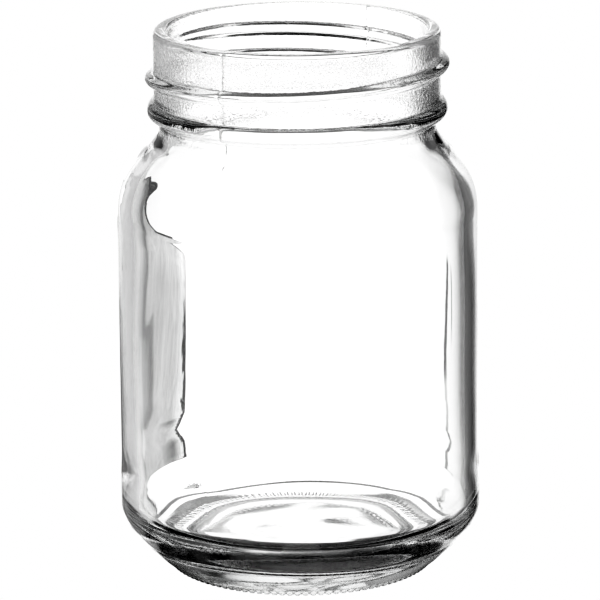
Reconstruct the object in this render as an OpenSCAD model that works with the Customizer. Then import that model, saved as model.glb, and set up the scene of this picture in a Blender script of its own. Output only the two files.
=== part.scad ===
// One-pint canning jar with a 70 mm continuous-thread finish.
// A single moulded glass vessel: rounded lip, helical thread, transfer bead,
// S-curved shoulder, straight label panel, soft heel, knurled bearing ring and
// a pushed-up base. It is turned about +Z, stands on z = 0 and faces -Y.

/* [Overall] */
// Height from the bearing surface to the sealing lip
jar_h = 125; // [105:1:175]
// Radius of the label panel
panel_r = 41.35; // [39:0.05:46]
// How far the lower contact band stands proud of the panel
band_h = 0.2; // [0:0.05:0.6]
// Thickness of the side wall
wall = 3.3; // [2:0.1:3.6]

/* [Finish] */
// Outside radius of the plain wall behind the thread
finish_r = 32.65; // [32:0.05:33.5]
// Radius of the mouth bore
mouth_r = 29.5; // [28.5:0.1:30]
// Rounding on the outside of the lip
lip_outer = 1.3; // [0.6:0.1:1.6]
// Rounding on the inside of the lip
lip_inner = 1.0; // [0.6:0.1:1.2]

/* [Thread] */
// Height of the thread crest above the finish wall
thread_depth = 1.95; // [1.2:0.05:2.1]
// Rise of the thread in one full turn
thread_pitch = 6.35; // [5:0.05:6.6]
// Nominal width that scales the thread section
thread_w = 3.6; // [2.8:0.1:4]
// Distance from the lip down to the thread crest at the front
thread_drop = 9.6; // [9:0.1:11]
// Angle at which the thread begins to rise, with the front at -90
thread_start = -330; // [-350:5:-250]
// Angle at which the thread has run out
thread_end = 160; // [60:5:170]
// Angle over which each end of the thread fades in
thread_fade = 42; // [20:1:80]

/* [Transfer bead] */
// Radius of the bead under the thread
bead_r = 34.15; // [33.5:0.05:35]
// Distance from the lip down to the middle of the bead
bead_drop = 18.4; // [17.5:0.1:20]

/* [Shoulder] */
// Smallest outside radius, just under the bead
neck_r = 31.42; // [31:0.02:32]
// Distance from the lip down to the neck
neck_drop = 22; // [21.5:0.1:25]
// Distance from the lip down to where the shoulder starts to curve in
shoulder_drop = 42.6; // [41:0.1:50]

/* [Heel and base] */
// Outer radius of the base, where the heel curve starts
base_r = 30.2; // [29.5:0.1:32]
// Height at which the heel curve meets the side wall
heel_h = 13.9; // [12:0.1:17]
// Slope of the heel where it leaves the base, in degrees
heel_slope = 34; // [28:1:42]
// Inner radius of the bearing ring
bearing_in = 26.6; // [25:0.1:27]
// Outer radius of the plain part of the bearing ring
bearing_out = 28.3; // [27.8:0.1:28.8]
// Height of the pushed-up centre under the base
punt_h = 3.0; // [1.5:0.1:4]
// Number of knurling bars round the bearing ring
knurl_n = 108; // [36:4:120]
// Width of one knurling bar
knurl_w = 0.85; // [0.5:0.05:0.9]
// Depth of the gaps between the bars
knurl_h = 0.25; // [0.2:0.05:0.6]

/* [Cavity] */
// Height of the inside floor above the bearing surface
floor_h = 7.6; // [5:0.1:9]
// Rise of the inside floor at its centre
floor_dome = 0.5; // [0:0.1:1.5]
// Height at which the inside corner meets the wall
corner_h = 18.5; // [17:0.5:24]

/* [Mould seams] */
// Height of the two vertical parting lines
seam_h = 0.14; // [0.08:0.01:0.25]
// Width of the parting lines, in degrees
seam_deg = 0.7; // [0.4:0.1:1.2]
// Angle of the first parting line; the second is opposite it
seam_at = -120.5; // [-180:0.5:180]

/* [Hidden] */

thread_z = jar_h - thread_drop;
bead_z = jar_h - bead_drop;
neck_z = jar_h - neck_drop;
shoulder_z = jar_h - shoulder_drop;
lip_z = jar_h - lip_outer;      // foot of the outer lip rounding

band_r = panel_r + band_h;
band_top = heel_h + 6;
band_fade = 7;                  // height over which the band blends into the panel
heel_pull = 6.9;                // length of the heel curve's lower handle

in_r = panel_r - wall;
throat_drop = 0.8;              // inward offset of the bore's lower handle
floor_edge_r = in_r - 16.05;    // where the floor starts to dome

shoulder_lean = 43;             // slope at the shoulder's inflection, in degrees
turn_r = 34.04 + (panel_r - 41.35) * 0.4;   // radius of the inflection
turn_z = neck_z - 5.1;

knurl_lap = 0.6;                // overlap of the bars into the bearing ring
knurl_over = 0.5;               // reach of the bars past the base radius
knurl_sink = 0.7;               // height of the bars above the gap roof

seam_root = 0.7;                // depth of the seam inside the glass
seam_bottom = 2.2;
seam_top = lip_z + 0.2;

thread_step = 4;                // greatest angle between thread sections
thread_end_scale = 0.55;        // share of the full width left at each end
thread_sink = 0.6;              // depth of the faded ridge below the wall
thread_root = -0.9;             // depth of the ridge's buried corners

// Thread section: [along Z / thread_w, out from the wall / thread_depth].
// A negative second value is a depth in mm inside the wall.
thread_profile = [
    [-0.60, thread_root], [-0.38, 0.40], [-0.20, 0.82], [0.0, 1.0],
    [0.17, 0.88], [0.30, 0.55], [0.40, 0.22], [0.58, thread_root]
];

// Control points of the inside corner, from the wall to the floor: [radius, z]
corner_points = [
    [in_r, corner_h],
    [in_r, corner_h - 2.1],
    [in_r, corner_h - 3.6],
    [in_r - 1.15, corner_h - 5.3],
    [in_r - 2.85, corner_h - 7.6],
    [in_r - 4.45, floor_h + 1.1],
    [in_r - 5.85, floor_h],
    [in_r - 8.05, floor_h],
    [in_r - 12.05, floor_h],
    [floor_edge_r, floor_h]
];

// Cubic Bezier curve, as points without the first one
function curve(start, handle_1, handle_2, end, steps) =
    [for (i = [1:steps]) let (t = i / steps)
        (1 - t)^3 * start + 3 * t * (1 - t)^2 * handle_1
            + 3 * t^2 * (1 - t) * handle_2 + t^3 * end];

// Cubic B-spline that starts and ends on its control polygon, as points
// without the first one
function spline(points, steps = 3) =
    let (
        first = points[0],
        last = points[len(points) - 1],
        knots = concat([first, first], points, [last, last])
    )
    [for (i = [0:len(knots) - 4], k = [1:steps]) let (t = k / steps)
        ((1 - t)^3 * knots[i]
            + (3 * t^3 - 6 * t^2 + 4) * knots[i + 1]
            + (-3 * t^3 + 3 * t^2 + 3 * t + 1) * knots[i + 2]
            + t^3 * knots[i + 3]) / 6];

// Circular arc, as points without the first one
function arc(centre, radius, from, to, steps) =
    [for (i = [1:steps]) let (angle = from + (to - from) * i / steps)
        centre + radius * [cos(angle), sin(angle)]];

// Eased step from 0 to 1
function smooth(x) = let (t = min(1, max(0, x))) t * t * (3 - 2 * t);

// Shoulder: a convex curve off the panel, then a concave one into the neck.
// inset moves the whole curve inward, for the cavity.
function shoulder(inset = 0) =
    let (
        foot = [panel_r - inset, shoulder_z],
        turn = [turn_r - inset * 0.74, turn_z - inset * 0.62],
        neck = [neck_r - inset * 0.92, neck_z - inset * 0.1],
        uphill = [-cos(shoulder_lean), sin(shoulder_lean)]
    )
    concat(
        curve(foot, foot + [0, 6.85 - inset * 0.5],
              turn - uphill * (7.2 - inset * 0.6), turn, 18),
        curve(turn, turn + uphill * 2.9, neck - [0, 1.1], neck, 8)
    );

// Under the base, from the axis out to the bearing ring
function under() =
    let (centre = [0, punt_h], rim = [bearing_in - 1.2, 1.15])
    concat(
        [centre],
        curve(centre, [13, punt_h], [23, punt_h * 0.82], rim, 16),
        curve(rim, [bearing_in - 0.7, 0.75], [bearing_in - 0.5, 0.15], [bearing_in, 0], 5)
    );

// Outside of the jar, from the bearing ring up to the neck
function outside() =
    let (heel_foot = [base_r, knurl_h])
    concat(
        [[bearing_out, 0], [bearing_out + knurl_h, knurl_h], heel_foot],
        curve(heel_foot, heel_foot + heel_pull * [cos(heel_slope), sin(heel_slope)],
              [band_r, heel_h - 3.6], [band_r, heel_h], 20),
        [for (i = [0:5]) [band_r - band_h * smooth(i / 5), band_top + band_fade * i / 5]],
        [[panel_r, shoulder_z]],
        shoulder()
    );

// Bead, finish wall and lip
function finish() =
    let (bead = [bead_r, bead_z - 0.2])
    concat(
        curve([neck_r, neck_z + 0.5], [neck_r + 0.1, bead_z - 2.1],
              [bead_r, bead_z - 2.0], bead, 10),
        curve(bead, [bead_r, bead_z + 1.2],
              [finish_r + 0.9, bead_z + 1.75], [finish_r, bead_z + 2.1], 8),
        [[finish_r, lip_z]],
        arc([finish_r - lip_outer, lip_z], lip_outer, 0, 90, 8),
        [[mouth_r + lip_inner, jar_h]],
        arc([mouth_r + lip_inner, jar_h - lip_inner], lip_inner, 90, 180, 7)
    );

// Inside surface, from the mouth down to the axis
function inside() =
    let (
        inner = shoulder(wall),
        last = len(inner) - 1,
        bore_foot = [mouth_r, bead_z + 1]
    )
    concat(
        [bore_foot],
        curve(bore_foot, [mouth_r, bead_z - 1.4],
              [mouth_r - throat_drop, neck_z + 2.2], inner[last], 8),
        [for (i = [last - 1:-1:0]) inner[i]],
        [[in_r, shoulder_z], [in_r, corner_h]],
        spline(corner_points),
        curve([floor_edge_r, floor_h], [16, floor_h],
              [10, floor_h + floor_dome], [0, floor_h + floor_dome], 8)
    );

// The turned vessel: one closed half-section, spun about Z
module vessel()
    rotate_extrude($fn = 180)
        polygon(concat(under(), outside(), finish(), inside()));

// One section of the thread at an angle, faded to nothing at both ends
function thread_section(angle) =
    let (
        fade = smooth((angle - thread_start) / thread_fade)
            * smooth((thread_end - angle) / thread_fade),
        width = thread_w * (thread_end_scale + (1 - thread_end_scale) * fade),
        crest_z = thread_z + thread_pitch * (angle + 90) / 360
    )
    [for (p = thread_profile)
        let (
            out = p[1] < 0 ? p[1] : p[1] * thread_depth * fade - thread_sink * (1 - fade),
            r = finish_r + out
        )
        [r * cos(angle), r * sin(angle), crest_z + p[0] * width]];

// Right-hand thread ridge, rooted inside the finish wall
module thread_ridge() {
    sweep = thread_end - thread_start;
    spans = ceil(sweep / thread_step);
    corners = len(thread_profile);
    polyhedron(
        points = [for (i = [0:spans]) each thread_section(thread_start + sweep * i / spans)],
        faces = concat(
            [[for (j = [corners - 1:-1:0]) j]],
            [for (i = [0:spans - 1], j = [0:corners - 1])
                let (k = (j + 1) % corners, near = i * corners, far = near + corners)
                each [
                    [near + j, far + k, far + j],
                    [near + j, near + k, far + k]
                ]],
            [[for (j = [0:corners - 1]) spans * corners + j]]
        )
    );
}

// Short radial bars round the outside of the bearing ring
module knurling() {
    start_r = bearing_out - knurl_lap;
    for (i = [0:knurl_n - 1])
        rotate([0, 0, (i + 0.5) * 360 / knurl_n])
            translate([start_r, -knurl_w / 2, 0])
                cube([base_r + knurl_over - start_r, knurl_w, knurl_h + knurl_sink]);
}

// Raised line left where the mould halves meet, from the heel to the lip
module mould_seam(angle) {
    // The radius limit leaves out the bore side of the lip
    outer = [for (p = concat(outside(), finish()))
        if (p[1] > seam_bottom && p[1] < seam_top && p[0] > neck_r - 0.01) p];
    rotate([0, 0, angle - seam_deg / 2])
        rotate_extrude(angle = seam_deg, $fn = 180)
            polygon(concat(
                [for (p = outer) p + [seam_h, 0]],
                [for (i = [len(outer) - 1:-1:0]) outer[i] - [seam_root, 0]]
            ));
}

module glass_jar()
    color([0.88, 0.93, 0.93, 0.4])
        union() {
            vessel();
            thread_ridge();
            knurling();
            mould_seam(seam_at);
            mould_seam(seam_at + 180);
        }

glass_jar();
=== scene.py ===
"""One-pint glass canning jar in flint glass, with its backdrop, table and camera.

The jar stands upright on z = 0 with its axis on Z. The camera is on the -Y side, looking along +Y
and a little down. The glass is worked out in millimetres and scaled to metres in its mesh.
Angles round the jar are in degrees from +X, so its front is at -90.
"""
import math

import bpy
import numpy as np
from mathutils import Matrix, Vector


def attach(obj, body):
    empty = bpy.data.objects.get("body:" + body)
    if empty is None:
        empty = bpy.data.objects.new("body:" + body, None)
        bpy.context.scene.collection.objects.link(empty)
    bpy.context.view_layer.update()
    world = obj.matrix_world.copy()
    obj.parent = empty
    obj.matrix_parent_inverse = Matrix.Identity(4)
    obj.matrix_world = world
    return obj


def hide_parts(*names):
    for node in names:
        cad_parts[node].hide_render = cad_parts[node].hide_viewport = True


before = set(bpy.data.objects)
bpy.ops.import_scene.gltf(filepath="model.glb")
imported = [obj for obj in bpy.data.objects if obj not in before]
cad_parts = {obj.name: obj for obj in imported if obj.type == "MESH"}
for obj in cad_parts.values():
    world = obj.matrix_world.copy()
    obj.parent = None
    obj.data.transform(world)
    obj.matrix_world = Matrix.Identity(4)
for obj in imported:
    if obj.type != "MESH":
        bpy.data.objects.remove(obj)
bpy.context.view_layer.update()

MM = 0.001

# ---------------------------------------------------------------- sizes, in millimetres
HEIGHT = 125.0
PANEL_R = 41.35      # outside of the body
BAND_RISE = 0.2      # the low band stands out this far from the panel
BAND_R = PANEL_R + BAND_RISE
WALL = 3.3
INNER_R = PANEL_R - WALL
FINISH_R = 32.65     # wall that carries the thread
MOUTH_R = 29.5
THROAT_R = MOUTH_R - 0.8
LIP_OUT, LIP_IN = 1.3, 1.0  # rounding radii of the lip
BEAD_R, BEAD_Z = 34.15, HEIGHT - 18.4
NECK_R, NECK_Z = 31.42, HEIGHT - 22.0
SHOULDER_Z = HEIGHT - 42.6
BASE_R, HEEL_Z, HEEL_SLOPE = 30.2, 13.9, 34.0  # slope in degrees
BEARING_IN, BEARING_OUT = 26.6, 28.3  # the ring it stands on
PUNT = 3.0           # push-up of the underside
FLOOR_Z, DOME = 7.6, 0.5  # inside floor, and its rise at the centre
CORNER_Z = 18.5      # the inside wall starts to curve in here

KNURL_COUNT, KNURL_H = 108, 0.25
THREAD_DEPTH, THREAD_PITCH, THREAD_WIDTH = 1.95, 6.35, 3.6
THREAD_Z = HEIGHT - 9.6  # crest at the front
THREAD_START, THREAD_END, THREAD_FADE = -330.0, 160.0, 42.0  # degrees
SEAM_AT, SEAM_H = -120.5, 0.16  # one mould seam in degrees, the other is opposite

COLS = 360       # columns round the outside
COLS_IN = 180    # columns round the inside
COLS_FINE = 1080  # columns round the knurling


# ---------------------------------------------------------------- curves
def bezier(a, b, c, d, n):
    """n points of a cubic Bezier curve, without its first point."""
    t = np.linspace(0, 1, n + 1)[1:, None]
    a, b, c, d = (np.array(p, float) for p in (a, b, c, d))
    return (1 - t) ** 3 * a + 3 * t * (1 - t) ** 2 * b + 3 * t**2 * (1 - t) * c + t**3 * d


def arc(centre_r, centre_z, radius, start, end, n):
    """n points of an arc between two angles in degrees, without its first point."""
    a = np.radians(np.linspace(start, end, n + 1)[1:])
    return np.column_stack([centre_r + radius * np.cos(a), centre_z + radius * np.sin(a)])


def spline(control, n):
    """Cubic B-spline through the ends of a control polygon, n points a span, no first point."""
    c = np.array([control[0]] * 2 + list(control) + [control[-1]] * 2, float)
    t = np.linspace(0, 1, n + 1)[1:, None]
    weights = [(1 - t) ** 3 / 6, (3 * t**3 - 6 * t**2 + 4) / 6,
               (-3 * t**3 + 3 * t**2 + 3 * t + 1) / 6, t**3 / 6]
    return np.vstack([sum(weights[k] * c[i + k] for k in range(4)) for i in range(len(c) - 3)])


def resample(points, n, power=1.0):
    """n points along a polyline, without its first; power other than 1 crowds them to one end."""
    p = np.array(points, float)
    length = np.concatenate([[0], np.cumsum(np.hypot(*np.diff(p, axis=0).T))])
    at = (np.linspace(0, 1, n + 1)[1:] ** power) * length[-1]
    return np.column_stack([np.interp(at, length, p[:, 0]), np.interp(at, length, p[:, 1])])


def smooth(u):
    v = np.clip(u, 0, 1)
    return v * v * (3 - 2 * v)


def rise(v, start, span):
    """Eases from 0 at start to 1 at start + span."""
    return smooth((v - start) / span)


def plateau(v, up, down):
    """1 in the middle, 0 outside; up and down are (start, span)."""
    return rise(v, *up) * (1 - rise(v, *down))


# ---------------------------------------------------------------- half-section, as (radius, height)
def shoulder(inset):
    """Shoulder from the panel up to the neck, set in by the wall thickness for the inside."""
    foot = np.array([PANEL_R - inset, SHOULDER_Z])
    top = np.array([NECK_R - inset * 0.92, NECK_Z - inset * 0.1])
    middle = np.array([34.04 - inset * 0.74, NECK_Z - 5.1 - inset * 0.62])
    slope = np.array([-math.cos(math.radians(43)), math.sin(math.radians(43))])
    low = bezier(foot, foot + [0, 6.85 - inset * 0.5],
                 middle - slope * (7.2 - inset * 0.6), middle, 60)
    high = bezier(middle, middle + slope * 2.9, top - [0, 1.1], top, 30)
    return np.vstack([[foot], low, high])


under = np.vstack([
    [[0, PUNT]],
    bezier([0, PUNT], [13, PUNT], [23, PUNT * 0.82], [BEARING_IN - 1.2, 1.15], 60),
    bezier([BEARING_IN - 1.2, 1.15], [BEARING_IN - 0.7, 0.75], [BEARING_IN - 0.5, 0.1],
           [BEARING_IN + 0.15, 0], 12),
])
# gap radius, gap height, bar radius, bar height
KNURL = [
    (28.5, 0.17, 28.6, 0.0), (28.8, KNURL_H, 29.0, 0.0), (29.5, KNURL_H, 29.6, 0.0),
    (30.1, 0.27, 30.2, 0.0), (30.55, 0.50, 30.58, 0.12), (30.95, 0.77, 30.92, 0.50),
]
heel_foot = np.array([BASE_R, KNURL_H])
heel_angle = math.radians(HEEL_SLOPE)
heel = np.vstack([
    [heel_foot],
    bezier(heel_foot, heel_foot + 6.9 * np.array([math.cos(heel_angle), math.sin(heel_angle)]),
           [BAND_R, HEEL_Z - 3.6], [BAND_R, HEEL_Z], 200),
])
heel = heel[heel[:, 0] > 31.35]  # the part outside the knurling
panel = ([[BAND_R, z] for z in (16.9, 19.9)]
         + [[BAND_R - BAND_RISE * float(smooth(i / 4)), 19.9 + i * 1.75] for i in range(1, 5)]
         + [[PANEL_R, z] for z in (38.0, 54.0, 70.0, SHOULDER_Z)])
bead = np.vstack([
    [[NECK_R, NECK_Z], [NECK_R, NECK_Z + 0.5]],
    bezier([NECK_R, NECK_Z + 0.5], [NECK_R + 0.1, BEAD_Z - 2.1], [BEAD_R, BEAD_Z - 2.0],
           [BEAD_R, BEAD_Z - 0.2], 40),
    bezier([BEAD_R, BEAD_Z - 0.2], [BEAD_R, BEAD_Z + 1.2], [FINISH_R + 0.9, BEAD_Z + 1.75],
           [FINISH_R, BEAD_Z + 2.1], 40),
])
finish_wall = [[FINISH_R, BEAD_Z + 2.1], [FINISH_R, HEIGHT - LIP_OUT]]
lip = np.vstack([
    arc(FINISH_R - LIP_OUT, HEIGHT - LIP_OUT, LIP_OUT, 0, 90, 7),
    [[30.95, HEIGHT], [MOUTH_R + LIP_IN, HEIGHT]],
    arc(MOUTH_R + LIP_IN, HEIGHT - LIP_IN, LIP_IN, 90, 180, 6),
])
inner_shoulder = shoulder(WALL)
bore = [[MOUTH_R, HEIGHT - LIP_IN], [MOUTH_R, BEAD_Z + 1]]
throat = np.vstack([
    [[MOUTH_R, BEAD_Z + 1]],
    bezier([MOUTH_R, BEAD_Z + 1], [MOUTH_R, BEAD_Z - 1.4], [THROAT_R, NECK_Z + 2.2],
           inner_shoulder[-1], 40),
])
# control points from the inside wall round to the floor
CORNER = [
    (INNER_R, CORNER_Z), (INNER_R, 16.4), (INNER_R, 14.9), (36.9, 13.2), (35.2, 10.9),
    (33.6, 8.7), (32.2, FLOOR_Z), (30.0, FLOOR_Z), (26.0, FLOOR_Z), (22.0, FLOOR_Z),
]
corner = np.vstack([[CORNER[0]], spline(CORNER, 12)])
inner_floor = np.vstack([
    [CORNER[-1]],
    bezier(CORNER[-1], [16, FLOOR_Z], [10, FLOOR_Z + DOME], [0, FLOOR_Z + DOME], 60),
])

# rings: (radius, height, zone, columns, knurl bar point or None)
# the walk goes under, up the outside, over the lip and down inside
rings = []


def add(points, zone, cols=COLS, bar=None):
    rings.extend((float(r), float(z), zone, cols, bar) for r, z in points)


add(resample(under, 14, 0.6)[:-1], "under")
add([[BEARING_IN + 0.15, 0], [27.3, 0], [28.1, 0]], "bearing")
add([[BEARING_OUT, 0]], "knurl", COLS_FINE)
for gap_r, gap_z, bar_r, bar_z in KNURL:
    add([[gap_r, gap_z]], "knurl", COLS_FINE, (bar_r, bar_z))
add([[31.3, 1.02]], "knurl", COLS_FINE)
add(resample(heel, 16), "heel")
add(panel, "panel")
add(resample(shoulder(0.0), 22), "shoulder")
add(resample(bead, 20), "bead")
add(resample(finish_wall, 84), "finish")
add(lip, "lip")
add(resample(bore, 9), "bore", COLS_IN)
add(resample(throat, 8), "in_throat", COLS_IN)
add(resample(inner_shoulder[::-1], 22), "in_shoulder", COLS_IN)
add([[INNER_R, z] for z in np.linspace(SHOULDER_Z, CORNER_Z, 17)[1:]], "in_wall", COLS_IN)
add(resample(corner, 24), "in_corner", COLS_IN)
add(resample(inner_floor, 10)[:-1], "in_floor", COLS_IN)


# ---------------------------------------------------------------- relief on the rings
def ripple(theta, z, seed, waves, turns, tall, amp):
    """A sum of waves that closes on itself round the jar.

    Each wave has turns[0] to turns[1] crests a turn and is `tall` mm or longer along z.
    """
    rng = np.random.default_rng(seed)
    out = np.zeros_like(theta)
    for _ in range(waves):
        crests = int(rng.integers(turns[0], turns[1] + 1))
        twist = 2 * math.pi / rng.uniform(tall, tall * 4) * rng.choice([-1, 1])
        out = out + np.cos(crests * theta + twist * z + rng.uniform(0, 2 * math.pi))
    return amp * out / math.sqrt(waves / 2)


# rounded thread section: height over the wall against place above the crest, in thread widths
SECTION_AT = np.linspace(-0.8, 0.8, 401)
section = np.interp(SECTION_AT, [-0.47, -0.38, -0.20, 0.0, 0.17, 0.30, 0.40, 0.47],
                    [0, 0.42, 0.84, 1.0, 0.90, 0.58, 0.22, 0])
softener = np.hanning(41)
section = np.convolve(section, softener / softener.sum(), mode="same")
section = section / section.max()


def thread(deg, z):
    """Height of the helical thread over the finish wall."""
    out = np.zeros_like(deg)
    for turn in (-2, -1, 0, 1, 2):
        a = deg + 360.0 * turn
        size = rise(a, THREAD_START, THREAD_FADE) * smooth((THREAD_END - a) / THREAD_FADE)
        crest_z = THREAD_Z + THREAD_PITCH * (a + 90) / 360
        u = (z - crest_z) / (THREAD_WIDTH * (0.55 + 0.45 * np.maximum(size, 1e-3)))
        height = THREAD_DEPTH * size * np.interp(u, SECTION_AT, section, left=0, right=0)
        out = np.maximum(out, np.where(size > 0, height, 0))
    return out


def from_seam(deg):
    """Degrees from the nearer mould seam."""
    return (deg - SEAM_AT + 90) % 180 - 90


def column_angles(cols, warp):
    """Column angles in degrees. warp crowds the columns round the two mould seams."""
    a = np.arange(cols) * 360.0 / cols + SEAM_AT
    d = from_seam(a)
    crowded = d * (0.30 + 0.70 * smooth(np.abs(d) / 6.0))
    return a + (crowded - d) * warp


def seam(deg, z):
    """Height of the seams: faint on the body, full on the neck."""
    neck = rise(z, 96, 8)
    ridge = np.exp(-(from_seam(deg) / (0.36 + 0.08 * neck)) ** 2)
    return (SEAM_H * (0.03 + 0.97 * neck)) * ridge * rise(z, 3, 4)


def ring_points(r, z, zone, cols, bar):
    outer = zone in ("heel", "panel", "shoulder", "bead", "finish", "lip")
    deg = column_angles(cols, rise(z, 2, 4) if outer else 0.0)
    theta = np.radians(deg)
    rr, zz = np.full(cols, r), np.full(cols, z)
    if bar:
        phase = (deg * KNURL_COUNT / 360.0) % 1.0
        on_bar = smooth((0.5 - np.abs(phase - 0.5)) * 6 - 0.75)
        rr = r * (1 - on_bar) + bar[0] * on_bar
        zz = z * (1 - on_bar) + bar[1] * on_bar
    if zone == "finish":
        rr = rr + thread(deg, z)
    if outer:
        # the seam dies out over the outer rounding of the lip
        kept = smooth(HEIGHT - 0.15 - z) * (r > 31) if zone == "lip" else 1.0
        rr = rr + seam(deg, z) * kept
        body = plateau(z, up=(6, 10), down=(98, 6))
        rr = rr + ripple(theta, z, seed=11, waves=9, turns=(2, 9), tall=60, amp=0.018) * body
        neck = plateau(z, up=(100, 4), down=(122.5, 2))
        rr = rr + ripple(theta, z, seed=23, waves=60, turns=(40, 120), tall=1.4, amp=0.003) * neck
    if zone.startswith("in_"):
        body = plateau(z, up=(9, 12), down=(90, 12))
        rr = rr + (ripple(theta, z, seed=5, waves=10, turns=(1, 4), tall=45, amp=0.07)
                   + ripple(theta, z, seed=7, waves=12, turns=(4, 9), tall=40, amp=0.012)) * body
        if zone in ("in_floor", "in_corner"):
            low = rise(r, 2, 10) * (1 - rise(z, 9, 6))
            zz = zz + ripple(theta, r, seed=31, waves=10, turns=(1, 6), tall=16, amp=0.10) * low
        neck = plateau(z, up=(86, 8), down=(104, 4))
        rr = rr + ripple(theta, z, seed=37, waves=12, turns=(6, 22), tall=10, amp=0.03) * neck
    return np.column_stack([rr * np.cos(theta), rr * np.sin(theta), zz])


# ---------------------------------------------------------------- jar mesh
def fan_strip(coarse, n_coarse, fine, n_fine):
    """Triangles from a fine ring to the next, coarser one; rings are given by first vertex."""
    step = n_fine // n_coarse
    half = step // 2
    out = []
    for j in range(n_coarse):
        c, d = coarse + j, coarse + (j + 1) % n_coarse
        f = [fine + (j * step + t) % n_fine for t in range(step + 1)]
        out += [(f[t], f[t + 1], c) for t in range(half)] + [(f[half], d, c)]
        out += [(f[t], f[t + 1], d) for t in range(half, step)]
    return out


def loft(first, last):
    """Closed skin through the rings, from point first to point last. Faces turn outwards."""
    verts = [[first]] + [ring_points(*ring) for ring in rings] + [[last]]
    counts = [ring[3] for ring in rings]
    starts = [1 + sum(counts[:i]) for i in range(len(counts))]
    n = counts[0]
    faces = [(0, 1 + (j + 1) % n, 1 + j) for j in range(n)]
    for a, b, na, nb in zip(starts, starts[1:], counts, counts[1:]):
        if na == nb:
            faces += [(a + j, a + (j + 1) % na, b + (j + 1) % na, b + j) for j in range(na)]
        elif nb > na:
            faces += [face[::-1] for face in fan_strip(a, na, b, nb)]
        else:
            faces += fan_strip(b, nb, a, na)
    a, n = starts[-1], counts[-1]
    faces += [(a + j, a + (j + 1) % n, a + n) for j in range(n)]
    return np.vstack(verts), faces


def add_object(name, data):
    obj = bpy.data.objects.new(name, data)
    bpy.context.scene.collection.objects.link(obj)
    return obj


def make_jar():
    verts, faces = loft((0, 0, PUNT), (0, 0, FLOOR_Z + DOME))
    mesh = bpy.data.meshes.new("jar_glass")
    mesh.from_pydata((verts * MM).tolist(), [], faces)
    mesh.validate()
    mesh.update()
    for poly in mesh.polygons:
        poly.use_smooth = True
    return add_object("jar_glass", mesh)


# ---------------------------------------------------------------- shader graphs
class Graph:
    """An emptied node tree, with short calls for sums on sockets and numbers."""

    def __init__(self, owner):
        owner.use_nodes = True
        self.tree = owner.node_tree
        self.tree.nodes.clear()

    def feed(self, socket, value):
        if isinstance(value, bpy.types.NodeSocket):
            self.tree.links.new(value, socket)
        else:
            socket.default_value = value

    def node(self, kind, inputs=None, **settings):
        node = self.tree.nodes.new("ShaderNode" + kind)
        for key, value in settings.items():
            setattr(node, key, value)
        for key, value in (inputs or {}).items():
            self.feed(node.inputs[key], value)
        return node

    def math(self, op, *values, clamp=False):
        inputs = dict(enumerate(values))
        return self.node("Math", inputs, operation=op, use_clamp=clamp).outputs[0]

    def sub(self, a, b):
        return self.math("SUBTRACT", a, b)

    def inv(self, v):
        return self.sub(1.0, v)

    def max(self, a, b):
        return self.math("MAXIMUM", a, b)

    def mul(self, first, *others):
        for other in others:
            first = self.math("MULTIPLY", first, other)
        return first

    def linear(self, v, gain, offset, clamp=False):
        return self.math("MULTIPLY_ADD", v, gain, offset, clamp=clamp)

    def mix(self, fac, a, b):
        """a where fac is 0, b where it is 1."""
        return self.linear(fac, self.sub(b, a), a)

    def above(self, v, at, soft):
        """0 below `at`, 1 above it, over a slope `soft` wide."""
        return self.linear(v, 1 / soft, 0.5 - at / soft, clamp=True)

    def below(self, v, at, soft):
        return self.inv(self.above(v, at, soft))

    def between(self, v, up, down):
        """1 between two slopes, each given as (at, soft)."""
        return self.mul(self.above(v, *up), self.below(v, *down))

    def distance(self, a, b):
        return self.math("ABSOLUTE", self.sub(a, b))

    def over(self, v, lo, hi):
        """v as a share of the span from lo to hi."""
        return self.math("MULTIPLY", self.sub(v, lo), 1 / (hi - lo), clamp=True)

    def ramp(self, share, lo, hi, points, scale=1.0):
        """Grey ramp over lo to hi, from (place, value) pairs; values are divided by scale."""
        node = self.node("ValToRGB", {0: share})
        stops = node.color_ramp.elements
        while len(stops) > 1:
            stops.remove(stops[-1])
        for i, (place, value) in enumerate(points):
            at = (place - lo) / (hi - lo)
            stop = stops.new(at) if i else stops[0]
            stop.position = at
            stop.color = (value / scale,) * 3 + (1,)
        return node.outputs[0]

    def noise(self, vector, **inputs):
        return self.node("TexNoise", {"Vector": vector, **inputs}).outputs[0]

    def mapped(self, vector, inputs=None):
        return self.node("Mapping", {0: vector, **(inputs or {})}).outputs[0]

    def xyz(self, vector):
        return self.node("SeparateXYZ", {0: vector}).outputs


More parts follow.
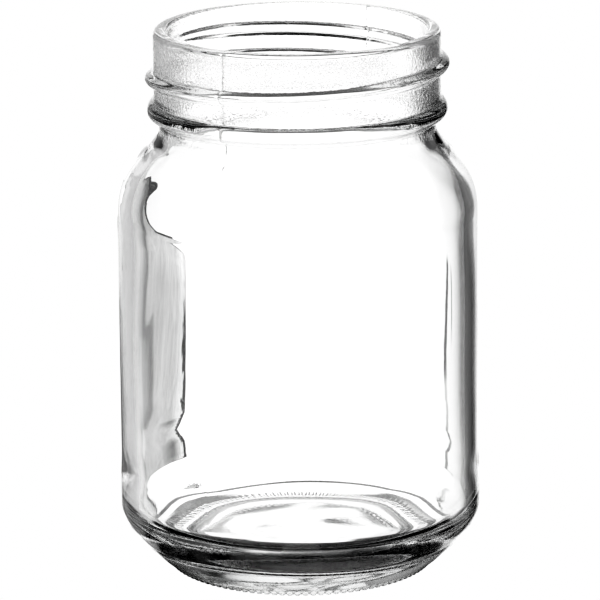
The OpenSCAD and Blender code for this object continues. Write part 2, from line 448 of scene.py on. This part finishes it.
# ---------------------------------------------------------------- glass
def glass_material():
    glass = bpy.data.materials.new("jar_flint_glass")
    g = Graph(glass)
    bsdf = g.node("BsdfPrincipled", {"Base Color": (1, 1, 1, 1), "Roughness": 0.0, "IOR": 1.52,
                                     "Transmission Weight": 1.0})
    place = g.node("TexCoord").outputs["Object"]
    x, y, z = g.xyz(place)
    radius = g.math("SQRT", g.math("ADD", g.mul(x, x), g.mul(y, y)))

    # orange peel on the outside of the neck, short of the thread's raised parts
    on_wall = g.below(radius, at=0.0330, soft=0.0003)
    peel = g.mul(g.between(z, up=(0.1015, 0.002), down=(0.1236, 0.0012)),
                 g.mul(g.above(radius, at=0.0305, soft=0.0004), on_wall))
    # fine pitting on the inside corner and floor
    pits = g.mul(g.below(z, at=0.0125, soft=0.004), g.above(z, at=0.0045, soft=0.001))
    pits = g.mul(pits, g.below(radius, at=0.0375, soft=0.001))
    peel_height = g.mul(peel, g.noise(g.mapped(place), Scale=1300.0, Detail=2.5))
    pit_share = 0.08  # of the peel's depth
    pit_noise = g.noise(g.mapped(place), Scale=1500.0, Detail=2.0)
    pit_height = g.mul(pits, g.mul(pit_noise, pit_share))
    bump = g.node("Bump", {"Strength": 1.0, "Distance": 0.00009,
                           "Height": g.math("ADD", peel_height, pit_height)})
    g.feed(bsdf.inputs["Normal"], bump.outputs[0])

    # the ring it stands on is scuffed
    scuff_noise = g.noise(g.mapped(place), Scale=900.0, Detail=4.0)
    scuff = g.mul(g.below(z, at=0.0003, soft=0.0003), g.above(scuff_noise, at=0.5, soft=0.25))
    scuff_roughness = 0.35
    g.feed(bsdf.inputs["Roughness"], g.mul(scuff, scuff_roughness))

    # density is per metre: only long paths through the glass darken
    absorb = g.node("VolumeAbsorption", {"Color": (0.0, 0.012, 0.008, 1), "Density": 2.5})
    g.node("OutputMaterial", {"Surface": bsdf.outputs[0], "Volume": absorb.outputs[0]})
    return glass


jar = make_jar()
jar.data.materials.append(glass_material())
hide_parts("glass_jar")
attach(jar, "root")

# ---------------------------------------------------------------- camera
TARGET = Vector((0.0002, 0.0, 0.0613))
DISTANCE, ELEVATION, ROLL = 1.001, math.radians(14.61), math.radians(-0.485)


def make_camera():
    data = bpy.data.cameras.new("camera")
    data.sensor_width = 36.0
    data.lens = 261.66
    data.clip_start, data.clip_end = 0.05, 50
    camera = add_object("camera", data)
    back = Vector((0, -math.cos(ELEVATION), math.sin(ELEVATION)))
    camera.location = TARGET + back * DISTANCE
    camera.rotation_mode = "QUATERNION"
    aim = (-back).to_track_quat("-Z", "Y").to_matrix()
    camera.rotation_quaternion = (aim @ Matrix.Rotation(ROLL, 3, "Z")).to_quaternion()
    bpy.context.scene.camera = camera
    return camera


cam = make_camera()

# the backdrop is laid out on the camera's axes: X right, Y up, -Z away from it
rig = add_object("backdrop_rig", None)
rig.constraints.new("COPY_ROTATION").target = cam

# ---------------------------------------------------------------- backdrop
# all angles in degrees: azimuth is 0 straight ahead and grows to the right, elevation grows upwards
WHITE = 1.25
SIDE_SPAN = (0, 120)    # azimuths the side ramps cover
EL_SPAN = (-12.0, 10.0)  # elevations the by_el ramps cover
FOLD_SPAN = (-2, 10)    # degrees from the fold its ramp covers

# brightness by azimuth, to the right: bright card, then the dark side of the room
RIGHT = [
    (0, WHITE), (9, WHITE), (11, 1.14), (15, 1.04), (17, 0.92), (19.6, 0.74), (21.2, 0.26),
    (24, 0.07), (28, 0.08), (31, 0.18), (36, 0.26), (42, 0.19), (52, 0.15), (65, 0.32),
    (80, 0.4), (100, 0.12), (120, 0.03),
]
# brightness by azimuth to the left: a mid-grey panel
LEFT = [
    (0, 0.84), (5.8, 0.84), (6.4, 0.55), (9, 0.53), (11, 0.55), (14, 0.60), (20, 0.62),
    (28, 0.66), (37, 0.60), (50, 0.52), (70, 0.40), (90, 0.2), (120, 0.03),
]
# brightness across the fold, by degrees to its left
FOLD = [
    (-2, 1.0), (-1.0, 0.95), (-0.5, 0.45), (-0.1, 0.36), (0.4, 0.42), (1.5, 0.66),
    (3.5, 0.84), (6, 0.94), (9, 1.0),
]
# elevation, degrees to the left: edge of the bright card, and the fold in the grey panel
CARD_EDGE = [
    (-12, 12.5), (-5.0, 12.5), (-4.0, 8.0), (-3.2, 5.6), (-2.6, 5.3), (-1.6, 5.2), (-1.2, 5.3),
    (-0.9, 5.5), (-0.7, 5.5), (-0.4, 5.35), (0, 5.25), (0.35, 5.3), (0.6, 6.2), (0.72, 7.2),
    (0.92, 10.6), (1.9, 12.2), (4, 14.0), (7, 14.5), (8.5, 19),
]
FOLD_AT = [
    (-12, 16), (-8, 19), (-5, 18), (-3.8, 17), (-3, 16.8), (-2.5, 13.8), (-2, 11.8),
    (-1.7, 10.8), (-1.0, 10.8), (-0.8, 11.2), (-0.65, 11.9), (-0.55, 12.6), (-0.5, 14),
    (-0.45, 15), (-0.3, 15.6), (10, 15.6),
]
# elevation, degrees to the right: dark line at the right of the card
LINE_AT = [
    (-12, 11), (-8.1, 10.6), (-4.5, 12.6), (-3.1, 11.3), (-2.9, 11.0), (-1.7, 11.8),
    (-1.0, 11.5), (-0.8, 11.3), (-0.6, 11.9), (-0.5, 12.1), (10, 12.1),
]
# elevation, strength of the dark lines at the card's two edges
LEFT_LINE = [(-12, 1), (-0.75, 1), (-0.5, 0.3), (0.3, 0.3), (0.7, 1), (10, 1)]
RIGHT_LINE = [(-12, 0.35), (-6, 0.4), (-3.3, 0.9), (-2.6, 0.7), (-1.5, 0.5), (-1.1, 0.5),
              (-0.95, 1), (10, 1)]


def make_world():
    world = bpy.data.worlds.new("studio")
    bpy.context.scene.world = world
    g = Graph(world)
    place = g.node("TexCoord", object=rig).outputs["Object"]
    x, y, z = g.xyz(place)
    to_degrees = 180 / math.pi
    az = g.mul(g.math("ARCTAN2", x, g.mul(z, -1.0)), to_degrees)
    el = g.mul(g.math("ARCSINE", y), to_degrees)
    to_left = g.mul(az, -1.0)
    el_share = g.over(el, *EL_SPAN)

    def by_el(points, scale=40.0):
        """A value up to `scale` that follows elevation."""
        return g.mul(g.ramp(el_share, *EL_SPAN, points, scale), scale)

    right = g.ramp(g.over(az, *SIDE_SPAN), *SIDE_SPAN, RIGHT)
    edge_at = by_el(CARD_EDGE)
    fold_at = by_el(FOLD_AT)
    left = g.ramp(g.over(to_left, *SIDE_SPAN), *SIDE_SPAN, LEFT)
    fold = g.ramp(g.over(g.sub(to_left, fold_at), *FOLD_SPAN), *FOLD_SPAN, FOLD)
    cloud = g.sub(g.noise(place, Scale=55.0, Detail=4.0, Roughness=0.65), 0.5)
    grain = g.sub(g.noise(place, Scale=330.0, Detail=2.0), 0.5)
    left = g.mul(left, fold, g.linear(cloud, gain=0.5, offset=1.0),
                 g.linear(grain, gain=0.6, offset=1.0))
    # a lighter stretch at eye level, and a small darker spot of the surrounding light below it
    lighter = g.mul(g.between(el, up=(-0.3, 0.3), down=(1.3, 0.3)),
                    g.below(to_left, at=13, soft=3))
    left = g.mul(left, g.mix(lighter, 1.0, 1.18))
    dim_spot = g.mul(g.between(el, up=(-2.70, 0.5), down=(-2.10, 0.3)),
                   g.above(to_left, at=6.0, soft=0.8), g.below(to_left, at=7.6, soft=2.0))
    left = g.mix(dim_spot, left, 0.2)
    left = g.mix(g.below(g.sub(to_left, edge_at), at=0.0, soft=0.12), left, WHITE)
    light = g.mix(g.below(az, at=0, soft=0.01), right, left)

    # low down on the right the panel ends in a grey fold
    low_right = g.mul(g.below(el, at=-18.0, soft=5.0), g.above(az, at=11.0, soft=3.0),
                      g.below(az, at=24, soft=6))
    light = g.mix(low_right, light, 0.22)

    # thin dark line along the left edge of the card, and a ledge off it
    past_edge = g.sub(to_left, edge_at)
    width = g.mul(g.linear(edge_at, gain=0.045, offset=0.02),
                  g.linear(grain, gain=3.0, offset=1.0))
    left_line = g.mul(g.above(past_edge, at=0.0, soft=0.10),
                      g.below(g.sub(past_edge, width), at=0.0, soft=0.10),
                      g.above(el, at=-11, soft=1), g.below(el, at=9.5, soft=1),
                      by_el(LEFT_LINE, 1.0))
    light = g.mix(left_line, light, 0.01)
    ledge = g.mul(g.between(el, up=(0.72, 0.05), down=(0.95, 0.05)),
                  g.above(to_left, at=7.0, soft=0.3), g.below(to_left, at=11.4, soft=0.3))
    light = g.mix(ledge, light, 0.03)

    # ragged dark line at the right edge, with a short fainter one beside it
    rag = 0.9
    to_line = g.math("ADD", g.distance(az, by_el(LINE_AT)), g.mul(grain, rag))
    right_line = g.mul(g.below(to_line, at=0.40, soft=0.14), g.above(el, at=-9, soft=1),
                       g.below(el, at=-0.45, soft=0.1), by_el(RIGHT_LINE, 1.0))
    light = g.mix(right_line, light, 0.04)
    short_line = g.mul(g.below(g.distance(az, 13.7), at=0.25, soft=0.14),
                       g.above(el, at=-0.95, soft=0.1), g.below(el, at=-0.55, soft=0.1))
    light = g.mix(short_line, light, 0.35)

    # the camera's side of the room is dark at eye level only: table and ceiling there are lit
    behind = g.above(g.math("ABSOLUTE", az), at=104, soft=10)
    light = g.mix(g.mul(behind, g.below(el, at=-29, soft=5)), light, 1.15)
    light = g.mix(g.mul(behind, g.above(el, at=20, soft=10)), light, 1.1)
    # so is the table out to both sides
    sides = g.above(g.math("ABSOLUTE", az), at=40, soft=12)
    light = g.mix(g.mul(sides, g.below(el, at=-7, soft=4)), light, 1.0)
    # high up it turns bright, with a dark cap straight above
    light = g.mix(g.above(el, at=45, soft=16), light, 1.15)
    light = g.mix(g.above(el, at=66, soft=6), light, 0.02)

    # seen directly, the backdrop is at least white
    seen = g.max(light, g.node("LightPath").outputs["Is Camera Ray"])
    background = g.node("Background", {"Color": seen})
    g.node("OutputWorld", {0: background.outputs[0]})


# ---------------------------------------------------------------- floor
def floor_material():
    """White to the camera and clear to light through the glass, but for painted shade and shadow by
    the jar.
    """
    material = bpy.data.materials.new("floor_white")
    g = Graph(material)
    geometry = g.node("NewGeometry").outputs
    position = geometry["Position"]
    rig_x, _, rig_z = g.xyz(g.node("TexCoord", object=rig).outputs["Object"])
    steepness = g.xyz(geometry["Incoming"])[2]  # sine of the ray's angle to the table
    radius = g.node("VectorMath", {0: position}, operation="LENGTH").outputs["Value"]
    depth = g.mul(rig_z, -1 / math.cos(ELEVATION))  # distance behind the jar's axis
    side = g.math("ABSOLUTE", rig_x)

    # painted shade on the table, seen only through the glass: a dark strip behind the jar, a patch
    # under its back half, and a thin arc of painted contact shadow
    strip = g.mul(g.between(depth, up=(44.5 * MM, 0.0008), down=(92.0 * MM, 0.004)),
                  g.above(steepness, at=0.47, soft=0.03))
    patch = g.mul(g.between(depth, up=(3.0 * MM, 0.002), down=(28.0 * MM, 0.003)),
                  g.mul(g.below(side, at=34.0 * MM, soft=0.004),
                        g.above(steepness, at=0.67, soft=0.03)))
    strip = g.max(strip, patch)
    thin_arc = g.mul(g.between(radius, up=(42.8 * MM, 0.0012), down=(47.0 * MM, 0.0015)),
                     g.mul(g.above(depth, at=16.0 * MM, soft=0.004),
                           g.above(steepness, at=0.09, soft=0.03)))
    arc_strength = 0.85
    strip = g.max(strip, g.mul(thin_arc, arc_strength))

    # shadow in front of the jar, seen by shallower rays out to the sides
    steep = g.max(g.above(steepness, at=0.485, soft=0.04),
                  g.mul(g.above(side, at=0.012, soft=0.003),
                        g.above(steepness, at=0.20, soft=0.03)))
    near = g.mul(g.mul(g.below(depth, at=-6.0 * MM, soft=0.004),
                       g.below(radius, at=90.0 * MM, soft=0.002)), steep)

    # mottled painted shade on the table under the pushed-up base, seen only through the glass
    cloud = g.noise(position, Scale=75.0, Detail=6.0, Roughness=0.7)
    base_shade_strength = 0.35
    base_shade = g.mul(g.below(radius, at=0.0235, soft=0.008),
                 g.mul(g.above(cloud, at=0.56, soft=0.30), base_shade_strength))

    to_camera = g.node("LightPath").outputs["Is Camera Ray"]
    # where the painted shade and shadow cover the clear table
    painted_shade = g.math("ADD", g.max(near, base_shade), strip, clamp=True)
    seen = g.mul(g.max(to_camera, painted_shade), g.inv(geometry["Backfacing"]))

    grain = g.noise(g.mapped(position, {"Scale": (0.25, 1.0, 1.0)}), Scale=420.0, Detail=3.0)
    grain = g.above(grain, at=0.52, soft=0.16)
    # brightness of the painted shade under the base and of the painted shade behind and under the
    # jar
    base_shade_light, strip_light = 0.25, 0.03
    base_shade_emission = g.mul(g.above(base_shade, at=0.0, soft=0.02), g.mul(g.inv(near), base_shade_light))
    # painted shadow in front, stippled by the grain, plus the painted shade strip, patch and arc
    dark = g.math("ADD", g.mul(near, g.linear(grain, gain=0.035, offset=0.0)),
                  g.mul(strip, strip_light))
    emission = g.node("Emission", {"Color": g.max(g.max(to_camera, base_shade_emission), dark)})
    clear = g.node("BsdfTransparent")
    mixed = g.node("MixShader", {0: seen, 1: clear.outputs[0], 2: emission.outputs[0]})
    g.node("OutputMaterial", {0: mixed.outputs[0]})
    return material


def make_floor():
    half, z = 6, -0.0003  # just under the jar
    mesh = bpy.data.meshes.new("floor")
    corners = [(-half, -half, z), (half, -half, z), (half, half, z), (-half, half, z)]
    mesh.from_pydata(corners, [], [(0, 1, 2, 3)])
    floor = add_object("floor", mesh)
    mesh.materials.append(floor_material())


make_world()
make_floor()


# ---------------------------------------------------------------- light paths and tone
def set_render():
    scene = bpy.context.scene
    cycles = scene.cycles
    cycles.max_bounces = 32
    cycles.transmission_bounces = 32
    cycles.glossy_bounces = 16
    cycles.transparent_max_bounces = 16
    cycles.caustics_refractive = True
    cycles.caustics_reflective = True
    view = scene.view_settings
    view.view_transform = "Standard"
    view.use_curve_mapping = True
    tone = view.curve_mapping
    tone.use_clip = False
    # combined curve, (in, out): deepens the darks
    for point in ((0.05, 0.004), (0.12, 0.030), (0.25, 0.135), (0.5, 0.45), (0.8, 0.84)):
        tone.curves[3].points.new(*point)
    tone.update()


set_render()
